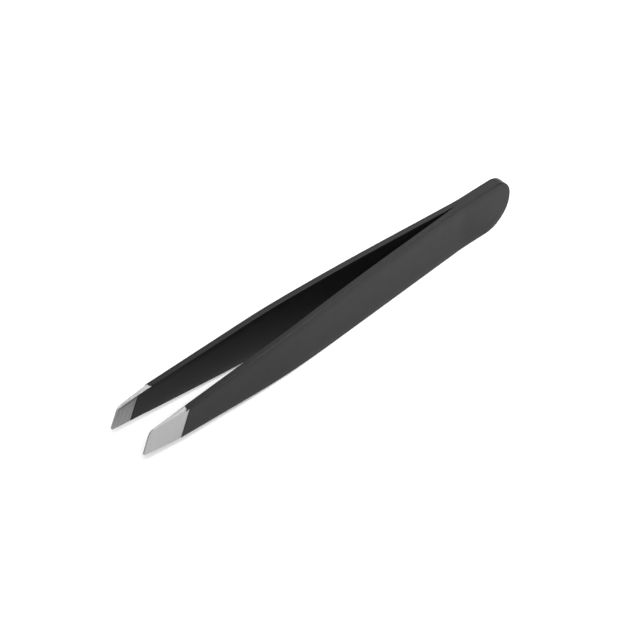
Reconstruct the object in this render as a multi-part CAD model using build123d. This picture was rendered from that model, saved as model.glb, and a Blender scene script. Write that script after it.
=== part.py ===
from build123d import *
import os
from math import asin, atan, atan2, cos, degrees, hypot, radians, sqrt, tan

# Slant tweezers lying on the long edges of their blades.
# The tips point along -X and the heel along +X, the left blade is on -Y,
# the right blade on +Y, and +Z is up. The origin is under the middle of the
# object, on the surface it lies on. A "station" is a distance from the heel end.

# Overall size (mm)
length = 95.5
height = 10.7

# Blade strip
blade_thickness = 1.1
coat_thickness = 0.06
edge_radius = 0.25

# Plan of a blade's inner face: welded land, spring stretch, gentler front stretch
land_end = 12.6
splay_angle = 4.0
land_bend_radius = 40.0
front_bend = 59.0
front_angle = 1.65
front_bend_radius = 250.0

# Side outline of a blade: parallel to the tapers, then straight to the slanted end
top_taper_start = 47.8
top_taper_angle = 3.65
top_taper_radius = 500.0
bottom_taper_start = 59.7
bottom_taper_angle = 4.9
bottom_taper_radius = 300.0
heel_upper_radius = 3.75
heel_lower_radius = 6.6

# Slanted tip
slant_angle = 23.0
tip_upper_radius = 1.3
tip_lower_radius = 0.3
tip_edge_thickness = 0.35
outer_ground_width = 8.1
inner_ground_width = 4.1
top_bevel = 0.5

# Spring line of a blade, where the stiff arm starts to turn
spring_station = 25.7
spring_clearance = 0.05
closed_tip_gap = 0.04

# Spot welds between the two lands
weld_stations = (5.2, 9.6)
weld_radius = 1.6
weld_depth = 0.4

margin = 5.0

# Derived places on the side outline and the plan
steel_low = coat_thickness
steel_high = height - coat_thickness
tip_low = steel_low + (length - bottom_taper_start) * tan(radians(bottom_taper_angle))
front_rise = (front_bend - land_end) * tan(radians(splay_angle))
tip_rise = front_rise + (length - front_bend) * tan(radians(front_angle))
half_thickness = blade_thickness / 2
lip_gap = sqrt((half_thickness + spring_clearance) ** 2 - half_thickness**2)

# Upper corner of the slanted end, where the slant meets the top taper
top_slope = tan(radians(top_taper_angle))
slant_slope = tan(radians(slant_angle))
high_at_tip = steel_high - (length - top_taper_start) * top_slope
tip_high = (high_at_tip - slant_slope * top_slope * tip_low) / (1 - slant_slope * top_slope)
slant_length = (tip_high - tip_low) / cos(radians(slant_angle))


def x_at(station):
    """Row x of a station."""
    return length / 2 - station


def corner(station, level):
    """Corner of the side outline, on the XZ plane."""
    return (x_at(station), level)


def blade_side():
    """Side outline of the bare steel blade, as a face on the XZ plane."""
    outline = FilletPolyline(
        corner(coat_thickness, steel_low),
        corner(bottom_taper_start, steel_low),
        corner(length, tip_low),
        corner(length - slant_slope * (tip_high - tip_low), tip_high),
        corner(top_taper_start, steel_high),
        corner(coat_thickness, steel_high),
        radius=[
            heel_lower_radius,
            bottom_taper_radius,
            tip_lower_radius,
            tip_upper_radius,
            top_taper_radius,
            heel_upper_radius,
        ],
        close=True,
    )
    return Plane.XZ * make_face(outline)


def blade_plan():
    """Plan strip of the bare steel right blade, as a face on the XY plane."""
    beyond = length + margin
    beyond_rise = tip_rise + margin * tan(radians(front_angle))
    inner_face = FilletPolyline(
        (x_at(-margin), 0),
        (x_at(land_end), 0),
        (x_at(front_bend), front_rise),
        (x_at(beyond), beyond_rise),
        radius=[land_bend_radius, front_bend_radius],
    )
    strip = offset(inner_face, amount=blade_thickness, side=Side.RIGHT)
    return make_face(strip.edges())


def inner_rise(station):
    """Distance of a blade's inner face from the seam plane, bends left out."""
    if station < land_end:
        return 0
    if station < front_bend:
        return (station - land_end) * tan(radians(splay_angle))
    return front_rise + (station - front_bend) * tan(radians(front_angle))


def is_outer_long_edge(edge):
    """True for the edges round the outer face, apart from the slanted end's own."""
    middle = edge.position_at(0.5)
    along = edge.tangent_at(0.5)
    station = length / 2 - middle.X
    outer = middle.Y > inner_rise(station) + half_thickness
    across = abs(along.Y) > 0.5
    seam = edge.geom_type == GeomType.LINE and abs(along.Z) > 0.99
    at_end = station > length - 2 * tip_upper_radius
    return outer and not (across or seam or at_end)


def bent_strip(side, plan, radius):
    """Strip with a side outline and a plan, rounded round its outer face."""
    deep = extrude(side, amount=height, both=True)
    tall = extrude(plan, amount=height + margin, both=True)
    strip = deep & tall
    return fillet([edge for edge in strip.edges() if is_outer_long_edge(edge)], radius)


def block(place, low, high):
    """Box between two corners, measured in the frame of a place."""
    size = [high[i] - low[i] for i in range(3)]
    centre = [(high[i] + low[i]) / 2 for i in range(3)]
    return place * Pos(*centre) * Box(*size)


# Frame at the slanted end: x back from the end, z up along it, y out from the inner face
tip_place = Pos(x_at(length), tip_rise, tip_low) * Rot(0, 0, -front_angle) * Rot(0, slant_angle, 0)

# Frame of the spring line: x towards the heel along the blade, y out, z up the hinge axis
spring_rise = (spring_station - land_end) * tan(radians(splay_angle))
inner_spring_place = Pos(x_at(spring_station), spring_rise, 0) * Rot(0, 0, -splay_angle)
spring_place = inner_spring_place * Pos(0, half_thickness, 0)


def tip_zone(depth, low_y, high_y):
    """Everything within a depth of the slanted end, between two levels of the thickness."""
    return block(tip_place, (-margin, low_y, -margin), (depth, high_y, height + margin))


def outer_grind():
    """Wedge ground off the outer face, thinning the blade to its tip edge."""
    slope = (blade_thickness - tip_edge_thickness) / outer_ground_width
    outside = blade_thickness + 1
    profile = Polyline(
        (outer_ground_width, blade_thickness),
        (-margin, tip_edge_thickness - slope * margin),
        (-margin, outside),
        (outer_ground_width, outside),
        close=True,
    )
    wedge = extrude(make_face(profile), amount=height + margin, both=True)
    return tip_place * wedge


def top_bevel_cutter():
    """Block over the slope ground off the right blade's inner top edge, deepest at the slanted end."""
    turn = slant_angle + top_taper_angle
    run = outer_ground_width / cos(radians(turn))
    tilt = degrees(atan(top_bevel * cos(radians(45)) / run))
    edge_place = tip_place * Pos(0, 0, slant_length) * Rot(0, -turn, 0)
    slope_place = edge_place * Pos(0, 0, -top_bevel) * Rot(45, 0, 0) * Rot(0, -tilt, 0)
    return block(slope_place, (-margin, -margin, 0), (run, margin, margin))


def knuckle(radius):
    """Cylinder on the hinge axis of the spring line."""
    return spring_place * Pos(0, 0, height / 2) * Cylinder(radius, height + margin)


def ahead(x):
    """Half space on the tip side of the spring line."""
    return block(spring_place, (-length, -height, -margin), (x, height, height + margin))


def behind(x):
    """Half space on the heel side of the spring line."""
    return block(spring_place, (x, -height, -margin), (length, height, height + margin))


def weld_nugget(station):
    """Lens of melted steel across the seam between the two lands."""
    ball_radius = (weld_radius**2 + weld_depth**2) / (2 * weld_depth)
    offset_y = ball_radius - weld_depth
    centre = (x_at(station), 0, height / 2)
    near = Pos(*centre) * Pos(0, -offset_y, 0) * Sphere(ball_radius)
    far = Pos(*centre) * Pos(0, offset_y, 0) * Sphere(ball_radius)
    return near & far


steel_side = blade_side()
steel_plan = blade_plan()
steel = bent_strip(steel_side, steel_plan, edge_radius - coat_thickness)
coated = bent_strip(
    offset(steel_side, amount=coat_thickness),
    offset(steel_plan, amount=coat_thickness),
    edge_radius,
)

blade = steel - outer_grind()
nuggets = [weld_nugget(station) for station in weld_stations]

land = (blade & behind(lip_gap)) - knuckle(half_thickness + spring_clearance)
for nugget in nuggets:
    land -= nugget
arm = blade & (ahead(0) + knuckle(half_thickness))

arm_coat = (coated & ahead(0)) - steel
arm_coat -= tip_zone(outer_ground_width, 0, blade_thickness + margin)
arm_coat -= tip_zone(inner_ground_width, -margin, blade_thickness + margin)

heel_side = (coated & behind(lip_gap)) - knuckle(half_thickness + spring_clearance)
heel_coat = heel_side + mirror(heel_side, about=Plane.XZ)
heel_coat = heel_coat - steel - mirror(steel, about=Plane.XZ)

right_tip_bevel = top_bevel_cutter()

nodes = {
    "left_blade_land": mirror(land, about=Plane.XZ),
    "right_blade_land": land,
    "left_blade_arm": mirror(arm, about=Plane.XZ),
    "right_blade_arm": arm - right_tip_bevel,
    "heel_coat": heel_coat,
    "left_arm_coat": mirror(arm_coat, about=Plane.XZ),
    "right_arm_coat": arm_coat - right_tip_bevel,
}
for number, nugget in enumerate(nuggets, start=1):
    nodes[f"weld_nugget_{number}"] = nugget

os.makedirs("parts", exist_ok=True)
for name, shape in nodes.items():
    export_step(shape, f"parts/{name}.step")

# Hinge axis of each spring line, and the turn that brings the tips together
axis_point = spring_place.position
tip_ahead = axis_point.X - x_at(length)
tip_out = tip_rise - axis_point.Y
turn_to_face = atan2(tip_out, tip_ahead)
turn_past_face = asin((axis_point.Y - closed_tip_gap / 2) / hypot(tip_ahead, tip_out))
closing_angle = degrees(turn_to_face + turn_past_face)
print(f"hinge axes at x {axis_point.X:.4f}, y {axis_point.Y:.4f} and -{axis_point.Y:.4f} mm")
print(f"closing angle {closing_angle:.3f} degrees")
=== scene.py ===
"""Looks of the slant tweezers: two continuous sprung blades, their satin black coat and the ground tips.

The blades' lines are worked out in millimetres from the same driving sizes as the CAD part. A "station" is a
distance from the heel end, "u" is a distance back from the slanted end of a tip, and "w" is measured along
that end from its lower corner. A "depth" goes out through a blade from its inner face, and an "inset" goes in
from its side outline. A "side" is -1 for the left blade and 1 for the right one.
"""

import math

import bmesh
import bpy
import numpy as np
from mathutils import Matrix, Vector


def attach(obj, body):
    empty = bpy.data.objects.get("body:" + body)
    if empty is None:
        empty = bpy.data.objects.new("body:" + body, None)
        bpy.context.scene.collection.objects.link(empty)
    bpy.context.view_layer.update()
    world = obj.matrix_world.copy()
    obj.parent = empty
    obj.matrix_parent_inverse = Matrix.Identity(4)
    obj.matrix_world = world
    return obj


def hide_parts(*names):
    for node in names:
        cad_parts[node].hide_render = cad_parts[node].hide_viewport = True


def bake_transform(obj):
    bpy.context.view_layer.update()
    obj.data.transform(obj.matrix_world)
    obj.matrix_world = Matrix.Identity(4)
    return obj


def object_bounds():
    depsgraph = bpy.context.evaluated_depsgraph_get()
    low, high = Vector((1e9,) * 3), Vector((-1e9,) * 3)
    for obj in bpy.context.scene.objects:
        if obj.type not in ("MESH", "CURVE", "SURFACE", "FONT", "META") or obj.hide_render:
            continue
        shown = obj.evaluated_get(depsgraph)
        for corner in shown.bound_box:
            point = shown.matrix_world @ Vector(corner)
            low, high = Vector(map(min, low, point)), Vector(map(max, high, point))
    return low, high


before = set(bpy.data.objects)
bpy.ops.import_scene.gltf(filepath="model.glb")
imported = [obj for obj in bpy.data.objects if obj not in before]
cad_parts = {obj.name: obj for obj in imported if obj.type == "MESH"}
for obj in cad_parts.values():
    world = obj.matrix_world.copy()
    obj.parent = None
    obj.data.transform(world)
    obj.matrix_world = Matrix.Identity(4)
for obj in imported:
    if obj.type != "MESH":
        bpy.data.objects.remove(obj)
cad_low, cad_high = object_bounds()

MM = 0.001

# Sizes that the frame gives (mm)
HEEL_X = cad_high.x / MM
LENGTH = 2 * HEEL_X
HEIGHT = cad_high.z / MM

# Blade strip and coat (mm)
THICKNESS = 1.1
COAT = 0.06
COAT_CLEARANCE = 0.006
OUTER_EDGE_RADIUS = 0.19
INNER_EDGE_RADIUS = 0.14
GROUND_EDGE_RADIUS = 0.05

# Plan of a blade's inner face (mm, degrees)
LAND_END = 12.6
SPLAY_ANGLE = 4.0
LAND_BEND_RADIUS = 40.0
FRONT_BEND = 59.0
FRONT_ANGLE = 1.65
FRONT_BEND_RADIUS = 250.0

# Side outline of a blade: where a taper starts, its angle and its bend radius (mm, degrees)
TOP_TAPER = (47.8, 3.65, 500.0)
BOTTOM_TAPER = (59.7, 4.9, 300.0)
HEEL_UPPER_RADIUS = 3.75
HEEL_LOWER_RADIUS = 6.6

# Slanted tip (mm, degrees)
SLANT = 23.0
UPPER_CORNER_RADIUS = 1.3
LOWER_CORNER_RADIUS = 0.3
TIP_EDGE_THICKNESS = 0.35
OUTER_GROUND = 8.1
INNER_GROUND = 4.1
TOP_BEVELS = {-1: 0.0, 1: 0.5}
BEVEL_SOFTENING = 0.03
EDGE_CLEARANCE = 0.02

# Each side's coat line over the top edge, as its distances back from the slanted end, inner then outer (mm)
TOP_COAT_LINES = {-1: (7.95, 7.05), 1: (6.85, 6.2)}

# Distances back from the slanted end over which its edges grow from sharp ground ones (mm)
TOP_EDGE_RUN = (3.0, 7.8)
BOTTOM_EDGE_RUN = (5.8, 7.8)

# Distances back from the slanted end over which insets turn from square to the outline to along the rows (mm)
INSET_TURN_RUN = (0.5, 2.0)

# Stations where the skins of the heel and the arms meet, and where an arm's skin starts on its inner face
SKIN_JOINT = 10.5
CROTCH = 12.6

# An arm's skin thins on its inner face towards the crotch: the length of its edge's run out (mm) and the
# share of the gap to the seam plane that it may fill
CROTCH_RUN = 5.0
CROTCH_FILL = 0.8

# Stations of the rows across a blade: the first upright one, the closer ones near the land and the last one
FIRST_UPRIGHT = 66.0
CLOSER_FROM = 18.0
LAST_UPRIGHT = 8.0

# Steps in the meshes
ARC_STEPS = 5
FACE_STEPS = 6
HEEL_STEPS = 20
FLAT_SHARES = (0.12, 0.5, 0.88)
BEVEL_SHARES = (0.36, 0.64)
HEEL_SHARES = (0.3, 0.6, 0.85)
WELD_DISTANCE = 0.0001 * MM
ROW_TOLERANCE = 0.001
SHARP_ANGLE = 32.0

# Grain of the materials (per metre) and the depth of its relief
PEEL_SCALE = 9000.0
CLOUD_SCALE = 450.0
LINE_SCALE = 9000.0
LINE_STRETCH = 0.04
FINE_RELIEF = 0.004 * MM
WELD_RELIEF = 0.02 * MM
PEEL_STRENGTH = 0.35
OUTER_LINE_STRENGTH = 0.25
GRIP_LINE_STRENGTH = 0.6
WELD_STRENGTH = 0.4

# Colours and roughness of the materials
COAT_COLOURS = [(0.004, 0.004, 0.0043), (0.007, 0.007, 0.0074)]
COAT_ROUGHNESS = (0.34, 0.42)
COAT_IOR = 1.29
OUTER_STEEL_COLOURS = [(0.325, 0.325, 0.327), (0.405, 0.405, 0.408)]
OUTER_STEEL_ROUGHNESS = (0.30, 0.36)
# Grip steel: its light and dark streaks are grind lines, and its colours are set darker than the outer
# steel's as painted shade of the inner ground face, which faces the other blade
GRIP_STEEL_STREAK_AND_SHADE_COLOURS = [(0.055, 0.055, 0.057), (0.475, 0.475, 0.479)]
GRIP_STEEL_ROUGHNESS = (0.36, 0.46)
WELD_COLOURS = [(0.30, 0.29, 0.28), (0.42, 0.37, 0.29), (0.36, 0.35, 0.34)]
WELD_ROUGHNESS = (0.45, 0.65)

# Camera (degrees, metres; the target in mm)
CAMERA_AZIMUTH = -41.72
CAMERA_ELEVATION = 42.94
CAMERA_ROLL = -0.97
CAMERA_DISTANCE = 0.7
CAMERA_LENS = 211.91
CAMERA_TARGET = (-1.08, -0.53, 4.0)

# Studio: soft boxes as name, place, size and power (metres and watts); gleam boxes only show in reflections
WORLD_STRENGTH = 0.6
FLOOR_HALF = 6.0
FLOOR_GAP = 0.01 * MM
FLOOR_GLOW = 0.14
SOFT_BOXES = [
    ("key_light", (-0.22, -0.245, 0.50), 0.2, 1.7),
    ("back_light", (0.27, 0.25, 0.31), 0.32, 0.62),
    ("heel_light", (0.085, -0.06, 0.10), 0.06, 0.1),
]
GLEAM_BOXES = [
    ("edge_light", (0.034, -0.063, 0.10), 0.04, 0.1),
]


def sin_deg(angle):
    return math.sin(math.radians(angle))


def cos_deg(angle):
    return math.cos(math.radians(angle))


def tan_deg(angle):
    return math.tan(math.radians(angle))


def smooth_step(value, low, high):
    share = min(max((value - low) / (high - low), 0.0), 1.0)
    return share * share * (3 - 2 * share)


# Lines of a blade


def bend(distance, slope, radius):
    """Offset and slope of a line that turns off its course at distance 0, round an arc of that radius."""
    half = radius * slope / 2
    if distance < -half:
        return 0.0, 0.0
    if distance < half:
        return (distance + half) ** 2 / (2 * radius), (distance + half) / radius
    return distance * slope, slope


def inner_line(station):
    """Distance of a blade's inner face from the seam plane, and the face's angle, at a station."""
    splay = tan_deg(SPLAY_ANGLE)
    rise, slope = bend(station - LAND_END, splay, LAND_BEND_RADIUS)
    drop, slope_lost = bend(station - FRONT_BEND, splay - tan_deg(FRONT_ANGLE), FRONT_BEND_RADIUS)
    return rise - drop, math.atan(slope - slope_lost)


def top_line(station):
    start, angle, radius = TOP_TAPER
    return HEIGHT - COAT - bend(station - start, tan_deg(angle), radius)[0]


def bottom_line(station):
    start, angle, radius = BOTTOM_TAPER
    return COAT + bend(station - start, tan_deg(angle), radius)[0]


TIP_LOW = bottom_line(LENGTH)
END_SLOPE = tan_deg(SLANT)
TOP_SLOPE = tan_deg(TOP_TAPER[1])
TIP_HIGH = (top_line(LENGTH) - END_SLOPE * TOP_SLOPE * TIP_LOW) / (1 - END_SLOPE * TOP_SLOPE)
END_LENGTH = (TIP_HIGH - TIP_LOW) / cos_deg(SLANT)
TOP_RUN_ANGLE = SLANT + TOP_TAPER[1]
BOTTOM_RUN_ANGLE = SLANT - BOTTOM_TAPER[1]


def tip_point(u, w):
    """Station and height of a point given back from the slanted end and along it."""
    station = LENGTH - u * cos_deg(SLANT) - w * sin_deg(SLANT)
    level = TIP_LOW - u * sin_deg(SLANT) + w * cos_deg(SLANT)
    return np.array((station, level))


def tip_top(u):
    """Upper outline at a distance back from the slanted end, its corner rounded."""
    radius = UPPER_CORNER_RADIUS
    if u >= radius * (1 - sin_deg(TOP_RUN_ANGLE)):
        return END_LENGTH + u * tan_deg(TOP_RUN_ANGLE)
    centre = END_LENGTH - radius * (1 - sin_deg(TOP_RUN_ANGLE)) / cos_deg(TOP_RUN_ANGLE)
    return centre + math.sqrt(radius**2 - (u - radius) ** 2)


def tip_bottom(u):
    """Lower outline at a distance back from the slanted end, its point rounded."""
    radius = LOWER_CORNER_RADIUS
    if u >= radius * (1 + sin_deg(BOTTOM_RUN_ANGLE)):
        return u * tan_deg(BOTTOM_RUN_ANGLE)
    centre = radius * (1 + sin_deg(BOTTOM_RUN_ANGLE)) / cos_deg(BOTTOM_RUN_ANGLE)
    return centre - math.sqrt(radius**2 - (u - radius) ** 2)


def heel_chain(sign, edge_level, radius):
    """Points from a long edge round the heel's corner to its short flat; sign is 1 on top, -1 below."""
    centre = np.array((COAT + radius, edge_level - sign * radius))
    chain = []
    for k in range(HEEL_STEPS + 1):
        angle = math.pi / 2 * (1 + k / HEEL_STEPS)
        chain.append(centre + radius * np.array((math.cos(angle), sign * math.sin(angle))))
    return [*chain, np.array((COAT, (HEIGHT + HEEL_LOWER_RADIUS - HEEL_UPPER_RADIUS) / 2))]


class Row:
    """A line across a blade, from a point of its lower outline to a point of its upper one."""

    def __init__(self, low, high, u):
        self.low = low
        self.high = high
        self.u = u


def tip_rows():
    """Rows at the slanted end, all parallel to it."""
    corner = [0.0, 0.02, 0.06, 0.12, 0.2, 0.3, 0.42, 0.56, 0.75, 1.0, 1.4, 1.9, 2.5, 3.1, 3.6]
    coat_lines = [INNER_GROUND, 4.6, 5.1, 5.6, *np.linspace(6.0, OUTER_GROUND, 15)]
    behind = [8.5, 9.1, 9.8]
    distances = corner + coat_lines + behind
    return [Row(tip_point(u, tip_bottom(u)), tip_point(u, tip_top(u)), u) for u in distances]


def turning_rows(last, station, count):
    """Rows that turn from a slanted one to the upright at a station."""
    rows = []
    for share in np.linspace(0, 1, count + 1)[1:]:
        low = last.low[0] + (station - last.low[0]) * share
        high = last.high[0] + (station - last.high[0]) * share
        low_point = np.array((low, bottom_line(low)))
        high_point = np.array((high, top_line(high)))
        rows.append(Row(low_point, high_point, LENGTH - high))
    return rows


def upright_rows(stations):
    return [Row(np.array((s, bottom_line(s))), np.array((s, top_line(s))), LENGTH - s) for s in stations]


def heel_rows(last):
    """Rows that fan out to the heel's corners and close on the middle of its end."""
    lows = heel_chain(-1, COAT, HEEL_LOWER_RADIUS)
    highs = heel_chain(1, HEIGHT - COAT, HEEL_UPPER_RADIUS)
    rows = []
    for share in HEEL_SHARES:
        low = last.low + (lows[0] - last.low) * share
        high = last.high + (highs[0] - last.high) * share
        rows.append(Row(low, high, LENGTH - low[0]))
    rows.extend(Row(low, high, LENGTH - low[0]) for low, high in zip(lows, highs))
    return rows


def outline_rows():
    """Every row of a blade, from its slanted end to its heel."""
    rows = tip_rows()
    rows += turning_rows(rows[-1], FIRST_UPRIGHT, 22)
    rows += upright_rows(np.linspace(FIRST_UPRIGHT, CLOSER_FROM, 49)[1:])
    rows += upright_rows(np.linspace(CLOSER_FROM, CROTCH, 13)[1:])
    rows += upright_rows(np.linspace(CROTCH, SKIN_JOINT, 5)[1:])
    rows += upright_rows(np.linspace(SKIN_JOINT, LAST_UPRIGHT, 4)[1:])
    rows += heel_rows(rows[-1])
    return rows


def unit(vector):
    return vector / np.linalg.norm(vector)


def outline_normals(rows):
    """Inward normals of the side outline at the lower and the upper points of the rows."""
    loop = [row.high for row in reversed(rows)] + [row.low for row in rows[:-1]]
    count = len(loop)
    normals = []
    for k in range(count):
        along = unit(unit(loop[k] - loop[k - 1]) + unit(loop[(k + 1) % count] - loop[k]))
        normals.append(np.array((along[1], -along[0])))
    high_normals = normals[: len(rows)][::-1]
    low_normals = normals[len(rows) :] + normals[:1]
    return low_normals, high_normals


def find_inward(rows):
    """Gives each row its two inward directions: square to the outline, or along the row behind the tip."""
    for row, low_normal, high_normal in zip(rows, *outline_normals(rows)):
        row.low_inward = low_normal
        row.high_inward = high_normal
        if row.low[0] > SKIN_JOINT:
            across = unit(row.high - row.low)
            share = smooth_step(row.u, *INSET_TURN_RUN)
            row.low_inward = low_normal + (across / (across @ low_normal) - low_normal) * share
            row.high_inward = high_normal + (across / (across @ high_normal) - high_normal) * share


ROWS = outline_rows()
find_inward(ROWS)


def row_at_station(station):
    """Index of the upright row at a station."""
    return int(np.argmin([abs(row.low[0] - station) + abs(row.high[0] - station) for row in ROWS]))


def row_at_u(u):
    """Index of the slanted row at a distance back from the end."""
    return int(np.argmin([abs(row.u - u) for row in ROWS]))


# Section of a blade


def inner_edge_radius(row, run):
    """Radius of an inner edge of the steel at a row, sharp at the slanted end and full behind a run."""
    return GROUND_EDGE_RADIUS + (INNER_EDGE_RADIUS - GROUND_EDGE_RADIUS) * smooth_step(row.u, *run)


def steel_thickness(row):
    """Thickness of the steel at a row, thinned towards the tip by the outer ground face."""
    ground = min(row.u / OUTER_GROUND, 1.0)
    return TIP_EDGE_THICKNESS + (THICKNESS - TIP_EDGE_THICKNESS) * ground


def top_bevel(side, row):
    """Leg of the 45 degree slope ground off a blade's inner top edge, at a row."""
    if row.u >= OUTER_GROUND:
        return INNER_EDGE_RADIUS
    corner = tip_point(0, END_LENGTH)
    from_corner = np.array((corner[0] - row.high[0], row.high[1] - corner[1]))
    angle = math.radians(TOP_TAPER[1])
    along = from_corner @ np.array((math.cos(angle), math.sin(angle)))
    below = from_corner @ np.array((math.sin(angle), -math.cos(angle)))
    run = OUTER_GROUND / cos_deg(TOP_RUN_ANGLE)
    leg = TOP_BEVELS[side] * (1 - along / run) - below
    return max(leg, inner_edge_radius(row, TOP_EDGE_RUN))


def arc_profile(radius):
    """Rounded corner as (inset, depth) pairs, from the inner face to the edge."""
    steps = [math.pi / 2 * k / ARC_STEPS for k in range(ARC_STEPS + 1)]
    return [(radius * (1 - math.sin(a)), radius * (1 - math.cos(a))) for a in steps]


def bevel_profile(leg, depth_limit):
    """45 degree bevel with softened ends as (inset, depth) pairs, cut short at a depth."""
    depth_end = min(leg, depth_limit)
    soft = min(BEVEL_SOFTENING, leg / 4)
    shares = [soft / leg, *BEVEL_SHARES, 1 - soft / leg]
    slope = [(leg - depth_end * share, depth_end * share) for share in shares]
    end = (leg - depth_end, depth_end + soft * (leg < depth_limit))
    return [(leg + soft, 0.0), *slope, end]


def edge_columns(inner, outer_radius, thickness):
    """Columns across an edge, from the inner face to the outer: an inner profile, a flat and a rounding."""
    inset, start = inner[-1]
    stop = thickness - outer_radius
    flat = [(inset, start + (stop - start) * share) for share in FLAT_SHARES]
    outer = [(inset + a, thickness - b) for a, b in reversed(arc_profile(outer_radius))]
    return [*inner, *flat, *outer]


def steel_edges(side, row):
    """Lower and upper edge columns of the bare steel at a row."""
    thickness = steel_thickness(row)
    ground_off = THICKNESS - thickness
    outer = max(OUTER_EDGE_RADIUS - ground_off, GROUND_EDGE_RADIUS)
    inner = inner_edge_radius(row, BOTTOM_EDGE_RUN)
    low = edge_columns(arc_profile(inner), outer, thickness)
    limit = thickness - outer - EDGE_CLEARANCE
    high = edge_columns(bevel_profile(top_bevel(side, row), limit), outer, thickness)
    return low, high


def skin_edges(row, outset):
    """Lower and upper edge columns, alike, of a surface that stands off the steel by an outset."""
    station = LENGTH - row.u
    inner_radius = (INNER_EDGE_RADIUS + outset) * smooth_step(station, CROTCH, CROTCH + CROTCH_RUN)
    inner_outset = min(outset, CROTCH_FILL * inner_line(station)[0])
    thickness = THICKNESS + inner_outset + outset
    columns = edge_columns(arc_profile(inner_radius), OUTER_EDGE_RADIUS + outset, thickness)
    moved = [(inset - outset, depth - inner_outset) for inset, depth in columns]
    return moved, moved


# Meshes


def blade_point(side, station, level, depth):
    """Place in metres of a point at a depth behind a point of the side outline."""
    turn = inner_line(station)[1]
    rise, turn = inner_line(station + depth * math.sin(turn))
    out = rise + depth * math.cos(turn)
    return Vector((HEEL_X - station, side * out, level)) * MM


def row_point(side, row, share, low, high):
    """Place at a share of the way along a row, from an (inset, depth) at its foot to one at its head."""
    low_point = row.low + row.low_inward * low[0]
    high_point = row.high + row.high_inward * high[0]
    station, level = low_point + (high_point - low_point) * share
    return blade_point(side, station, level, low[1] + (high[1] - low[1]) * share)


def section(side, row, low_edge, high_edge):
    """Ring of points round a blade: up the inner face, over the top, down the outer face and under."""
    shares = [k / FACE_STEPS for k in range(1, FACE_STEPS)]
    inner_face = [row_point(side, row, share, low_edge[0], high_edge[0]) for share in shares]
    top = [row_point(side, row, 1, edge, edge) for edge in high_edge]
    outer_face = [row_point(side, row, share, low_edge[-1], high_edge[-1]) for share in reversed(shares)]
    bottom = [row_point(side, row, 0, edge, edge) for edge in reversed(low_edge)]
    return [*inner_face, *top, *outer_face, *bottom]


def end_cap(side, row, low_edge, high_edge):
    """Grid of points over the slanted end, from its lower edge to its upper one."""
    shares = [k / FACE_STEPS for k in range(FACE_STEPS + 1)]
    edges = list(zip(low_edge, high_edge))
    return [[row_point(side, row, share, low, high) for low, high in edges] for share in shares]


def add_grid(bm, grid, material=None):
    """Quads over a grid of points; material gives a face's material index from its row and column."""
    verts = [[bm.verts.new(point) for point in line] for line in grid]
    for i in range(len(grid) - 1):
        for j in range(len(grid[0]) - 1):
            face = bm.faces.new((verts[i][j], verts[i + 1][j], verts[i + 1][j + 1], verts[i][j + 1]))
            face.material_index = material(i, j) if material else 0


def add_shell(bm, side, rows, covered, rims_on_seam):
    """Thin shell over the covered cells of a blade's sections, with its rims closed."""
    outside = [[bm.verts.new(p) for p in section(side, row, *skin_edges(row, COAT))] for row in rows]
    inside = [[bm.verts.new(p) for p in section(side, row, *skin_edges(row, COAT_CLEARANCE))] for row in rows]
    around = len(outside[0])
    cells = {(i, j) for i in range(len(rows) - 1) for j in range(around) if covered(side, rows[i], j)}
    for i, j in cells:
        k = (j + 1) % around
        for sheet in (outside, inside):
            bm.faces.new((sheet[i][j], sheet[i + 1][j], sheet[i + 1][k], sheet[i][k]))
        rims = [((i - 1, j), (i, j), (i, k))]
        if rims_on_seam:
            rims.append(((i + 1, j), (i + 1, k), (i + 1, j)))
            rims.append(((i, (j - 1) % around), (i + 1, j), (i, j)))
            rims.append(((i, k), (i, k), (i + 1, k)))
        for neighbour, a, b in rims:
            if neighbour not in cells:
                corners = ((outside, a), (outside, b), (inside, b), (inside, a))
                bm.faces.new([sheet[place[0]][place[1]] for sheet, place in corners])


def finish_mesh(bm, name, materials):
    """Object from a bmesh: welded, cleaned and smooth, apart from its real corners."""
    bmesh.ops.remove_doubles(bm, verts=bm.verts, dist=WELD_DISTANCE)
    bmesh.ops.dissolve_degenerate(bm, edges=bm.edges, dist=WELD_DISTANCE)
    bmesh.ops.delete(bm, geom=[v for v in bm.verts if not v.link_faces], context="VERTS")
    bmesh.ops.recalc_face_normals(bm, faces=bm.faces)
    mesh = bpy.data.meshes.new(name)
    bm.to_mesh(mesh)
    bm.free()
    mesh.polygons.foreach_set("use_smooth", [True] * len(mesh.polygons))
    mesh.set_sharp_from_angle(angle=math.radians(SHARP_ANGLE))
    for material in materials:
        mesh.materials.append(material)
    piece = bpy.data.objects.new(name, mesh)
    bpy.context.scene.collection.objects.link(piece)
    return piece


# Ring columns of a section, in order: inner face, top, outer face, bottom
EDGE_POINTS = 2 * (ARC_STEPS + 1) + 3
TOP_FIRST = FACE_STEPS - 1
OUTER_FIRST = TOP_FIRST + EDGE_POINTS - 1
BOTTOM_FIRST = OUTER_FIRST + FACE_STEPS
INNER_FIRST = BOTTOM_FIRST + EDGE_POINTS - 1


def column_region(j):
    """Which face of a blade the ring's column j lies on."""
    if j < TOP_FIRST or j >= INNER_FIRST:
        return "inner"
    if j < OUTER_FIRST:
        return "top"
    if j < BOTTOM_FIRST:
        return "outer"
    return "bottom"


def skin_start(side, j):
    """Distance back from the slanted end at which an arm's skin starts, at a column."""
    region = column_region(j)
    if region == "inner":
        return INNER_GROUND
    if region != "top":
        return OUTER_GROUND
    inner_start, outer_start = TOP_COAT_LINES[side]
    share = (j - TOP_FIRST) / (OUTER_FIRST - TOP_FIRST)
    return inner_start + (outer_start - inner_start) * share


def arm_is_covered(side, row, j):
    """Whether an arm's skin covers the cell behind a row, at a column."""
    if column_region(j) == "inner" and row.low[0] <= CROTCH + ROW_TOLERANCE:
        return False
    return row.u >= skin_start(side, j) - ROW_TOLERANCE


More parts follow.
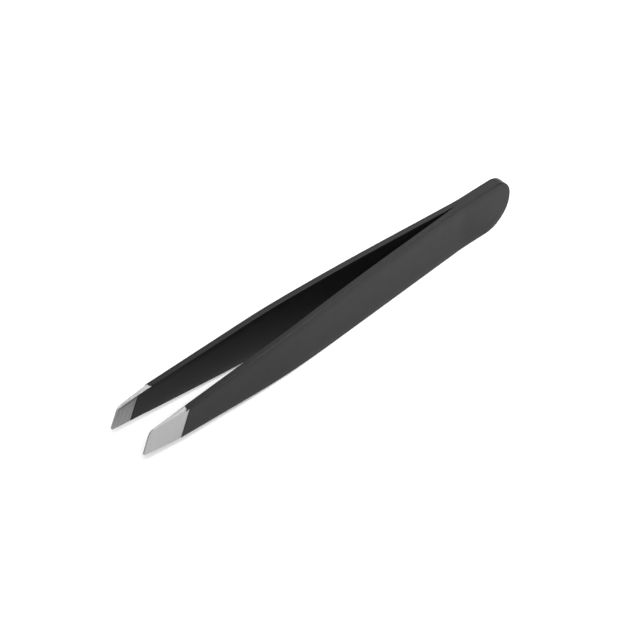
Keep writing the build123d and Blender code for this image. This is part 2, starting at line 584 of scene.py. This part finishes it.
def heel_is_covered(side, row, j):
    """Whether the heel's skin covers a cell: alike on both sides and at every row."""
    return column_region(j) != "inner"


def make_blade(name, side, outer_steel, grip_steel_with_painted_shade):
    """One continuous steel blade with its ground tip."""
    bm = bmesh.new()
    rings = [section(side, row, *steel_edges(side, row)) for row in ROWS]

    # Index 1 is the grip steel, darkened with painted shade, on the inner ground face and the slanted end
    def material(i, j):
        return 1 if ROWS[i].u < INNER_GROUND and column_region(j) == "inner" else 0

    add_grid(bm, [ring + ring[:1] for ring in rings], material)
    add_grid(bm, end_cap(side, ROWS[0], *steel_edges(side, ROWS[0])), lambda i, j: 1)
    return finish_mesh(bm, name, [outer_steel, grip_steel_with_painted_shade])


def make_arm_skin(name, side, material):
    """Coat of one arm, from the ground tip to the heel's coat."""
    bm = bmesh.new()
    rows = ROWS[row_at_u(INNER_GROUND) : row_at_station(SKIN_JOINT) + 1]
    add_shell(bm, side, rows, arm_is_covered, rims_on_seam=True)
    return finish_mesh(bm, name, [material])


def make_heel_skin(name, material):
    """Coat of the welded heel, one skin over both blades."""
    bm = bmesh.new()
    rows = ROWS[row_at_station(SKIN_JOINT) :]
    for side in (-1, 1):
        add_shell(bm, side, rows, heel_is_covered, rims_on_seam=False)
    return finish_mesh(bm, name, [material])


# Materials


def new_material(name):
    """Material with an empty node tree, its nodes, links and shader."""
    material = bpy.data.materials.new(name)
    material.use_nodes = True
    nodes = material.node_tree.nodes
    nodes.clear()
    output = nodes.new("ShaderNodeOutputMaterial")
    shader = nodes.new("ShaderNodeBsdfPrincipled")
    material.node_tree.links.new(shader.outputs["BSDF"], output.inputs["Surface"])
    return material, nodes, material.node_tree.links, shader


def add_noise(nodes, links, vector, scale, detail=2.0):
    """Noise texture over a vector socket."""
    noise = nodes.new("ShaderNodeTexNoise")
    noise.inputs["Scale"].default_value = scale
    noise.inputs["Detail"].default_value = detail
    links.new(vector, noise.inputs["Vector"])
    return noise.outputs["Fac"]


def add_range(nodes, links, value, low, high, from_low=0.3, from_high=0.7):
    """Value mapped from one range to another."""
    node = nodes.new("ShaderNodeMapRange")
    node.inputs["From Min"].default_value = from_low
    node.inputs["From Max"].default_value = from_high
    node.inputs["To Min"].default_value = low
    node.inputs["To Max"].default_value = high
    links.new(value, node.inputs["Value"])
    return node.outputs["Result"]


def add_ramp(nodes, links, value, colours):
    """Colour ramp with evenly spaced stops."""
    ramp = nodes.new("ShaderNodeValToRGB")
    elements = ramp.color_ramp.elements
    while len(elements) < len(colours):
        elements.new(0.5)
    for k, colour in enumerate(colours):
        elements[k].position = k / (len(colours) - 1)
        elements[k].color = (*colour, 1.0)
    links.new(value, ramp.inputs["Fac"])
    return ramp.outputs["Color"]


def add_bump(nodes, links, height, strength, distance):
    bump = nodes.new("ShaderNodeBump")
    bump.inputs["Strength"].default_value = strength
    bump.inputs["Distance"].default_value = distance
    links.new(height, bump.inputs["Height"])
    return bump


def black_coat_material():
    """Satin black powder coat: fine orange peel and slow changes of gloss."""
    material, nodes, links, shader = new_material("black_satin_coat")
    place = nodes.new("ShaderNodeTexCoord").outputs["Object"]
    peel = add_noise(nodes, links, place, PEEL_SCALE, 3.0)
    cloud = add_noise(nodes, links, place, CLOUD_SCALE, 3.0)
    links.new(add_ramp(nodes, links, cloud, COAT_COLOURS), shader.inputs["Base Color"])
    links.new(add_range(nodes, links, cloud, *COAT_ROUGHNESS), shader.inputs["Roughness"])
    bump = add_bump(nodes, links, peel, PEEL_STRENGTH, FINE_RELIEF)
    links.new(bump.outputs["Normal"], shader.inputs["Normal"])
    shader.inputs["IOR"].default_value = COAT_IOR
    return material


def steel_material(name, line_strength, colours, roughness):
    """Ground steel with fine lines along the slanted end."""
    material, nodes, links, shader = new_material(name)
    place = nodes.new("ShaderNodeTexCoord").outputs["Object"]
    turned = nodes.new("ShaderNodeMapping")
    turned.vector_type = "TEXTURE"
    turned.inputs["Rotation"].default_value = (0, math.radians(SLANT), 0)
    links.new(place, turned.inputs["Vector"])
    stretched = nodes.new("ShaderNodeMapping")
    stretched.inputs["Scale"].default_value = (1.0, 1.0, LINE_STRETCH)
    links.new(turned.outputs["Vector"], stretched.inputs["Vector"])
    lines = add_noise(nodes, links, stretched.outputs["Vector"], LINE_SCALE, 4.0)
    cloud = add_noise(nodes, links, place, CLOUD_SCALE, 2.0)
    links.new(add_ramp(nodes, links, lines, colours), shader.inputs["Base Color"])
    links.new(add_range(nodes, links, cloud, *roughness), shader.inputs["Roughness"])
    bump = add_bump(nodes, links, lines, line_strength, FINE_RELIEF)
    links.new(bump.outputs["Normal"], shader.inputs["Normal"])
    shader.inputs["Metallic"].default_value = 1.0
    return material


def weld_material():
    """Melted and cooled steel of the spot welds, with a straw heat tint."""
    material, nodes, links, shader = new_material("weld_steel")
    place = nodes.new("ShaderNodeTexCoord").outputs["Object"]
    cloud = add_noise(nodes, links, place, CLOUD_SCALE, 4.0)
    links.new(add_ramp(nodes, links, cloud, WELD_COLOURS), shader.inputs["Base Color"])
    links.new(add_range(nodes, links, cloud, *WELD_ROUGHNESS), shader.inputs["Roughness"])
    bump = add_bump(nodes, links, cloud, WELD_STRENGTH, WELD_RELIEF)
    links.new(bump.outputs["Normal"], shader.inputs["Normal"])
    shader.inputs["Metallic"].default_value = 1.0
    return material


# Pieces


def make_pieces():
    """The heel's skin, set on its body, and each side's blade and skin."""
    coat = black_coat_material()
    outer_steel = steel_material(
        "ground_steel", OUTER_LINE_STRENGTH, OUTER_STEEL_COLOURS, OUTER_STEEL_ROUGHNESS
    )
    # Grip steel: grind streaks, with painted shade making it darker than the outer steel
    grip_steel_with_painted_shade = steel_material("grip_steel_with_painted_shade", GRIP_LINE_STRENGTH, GRIP_STEEL_STREAK_AND_SHADE_COLOURS, GRIP_STEEL_ROUGHNESS)

    heel_skin = make_heel_skin("heel_skin", coat)
    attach(heel_skin, "heel")
    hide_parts("heel_coat")

    for hand, side in (("left", -1), ("right", 1)):
        blade = make_blade(f"{hand}_blade", side, outer_steel, grip_steel_with_painted_shade)
        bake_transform(blade)
        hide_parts(f"{hand}_blade_land", f"{hand}_blade_arm")

        skin = make_arm_skin(f"{hand}_arm_skin", side, coat)
        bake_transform(skin)
        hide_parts(f"{hand}_arm_coat")


def finish_welds():
    """Gives the CAD weld nuggets their material."""
    weld = weld_material()
    for name in ("weld_nugget_1", "weld_nugget_2"):
        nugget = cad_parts[name]
        if not nugget.material_slots:
            nugget.data.materials.append(weld)
        for material_slot in nugget.material_slots:
            material_slot.material = weld


# Studio


def make_floor():
    """Wide pale table top that the tweezers lie on."""
    material, nodes, links, shader = new_material("pale_floor")
    shader.inputs["Base Color"].default_value = (0.9, 0.9, 0.9, 1.0)
    shader.inputs["Roughness"].default_value = 0.9
    shader.inputs["Specular IOR Level"].default_value = 0.0
    shader.inputs["Emission Color"].default_value = (1.0, 1.0, 1.0, 1.0)
    shader.inputs["Emission Strength"].default_value = FLOOR_GLOW
    bm = bmesh.new()
    bmesh.ops.create_grid(bm, x_segments=1, y_segments=1, size=FLOOR_HALF)
    mesh = bpy.data.meshes.new("floor")
    bm.to_mesh(mesh)
    bm.free()
    mesh.materials.append(material)
    floor = bpy.data.objects.new("floor", mesh)
    floor.location.z = -FLOOR_GAP
    bpy.context.scene.collection.objects.link(floor)


def make_light(name, place, size, power, only_gleams=False):
    """Square soft box aimed at the object; one that only gleams shows in reflections and nowhere else."""
    light = bpy.data.lights.new(name, "AREA")
    light.shape = "SQUARE"
    light.size = size
    light.energy = power
    lamp = bpy.data.objects.new(name, light)
    lamp.location = place
    lamp.rotation_euler = (-Vector(place)).to_track_quat("-Z", "Y").to_euler()
    lamp.visible_diffuse = not only_gleams
    bpy.context.scene.collection.objects.link(lamp)


def make_world():
    """Even white surroundings."""
    world = bpy.data.worlds.new("studio")
    world.use_nodes = True
    background = world.node_tree.nodes["Background"]
    background.inputs["Color"].default_value = (1.0, 1.0, 1.0, 1.0)
    background.inputs["Strength"].default_value = WORLD_STRENGTH
    bpy.context.scene.world = world
    bpy.context.scene.view_settings.view_transform = "Standard"


def make_camera():
    """Long lens from the left front, above, aimed near the middle of the object and rolled slightly."""
    azimuth = math.radians(CAMERA_AZIMUTH)
    elevation = math.radians(CAMERA_ELEVATION)
    roll = math.radians(CAMERA_ROLL)
    flat = math.cos(elevation)
    back = Vector((math.sin(azimuth) * flat, -math.cos(azimuth) * flat, math.sin(elevation)))
    level = Vector((math.cos(azimuth), math.sin(azimuth), 0))
    upright = back.cross(level)
    right = level * math.cos(roll) + upright * math.sin(roll)
    up = upright * math.cos(roll) - level * math.sin(roll)
    data = bpy.data.cameras.new("camera")
    data.lens = CAMERA_LENS
    camera = bpy.data.objects.new("camera", data)
    place = Matrix((right, up, back)).transposed().to_4x4()
    place.translation = Vector(CAMERA_TARGET) * MM + back * CAMERA_DISTANCE
    camera.matrix_world = place
    bpy.context.scene.collection.objects.link(camera)
    bpy.context.scene.camera = camera


make_camera()
make_world()
make_floor()
for soft_box in SOFT_BOXES:
    make_light(*soft_box)
for gleam_box in GLEAM_BOXES:
    make_light(*gleam_box, only_gleams=True)
make_pieces()
finish_welds()
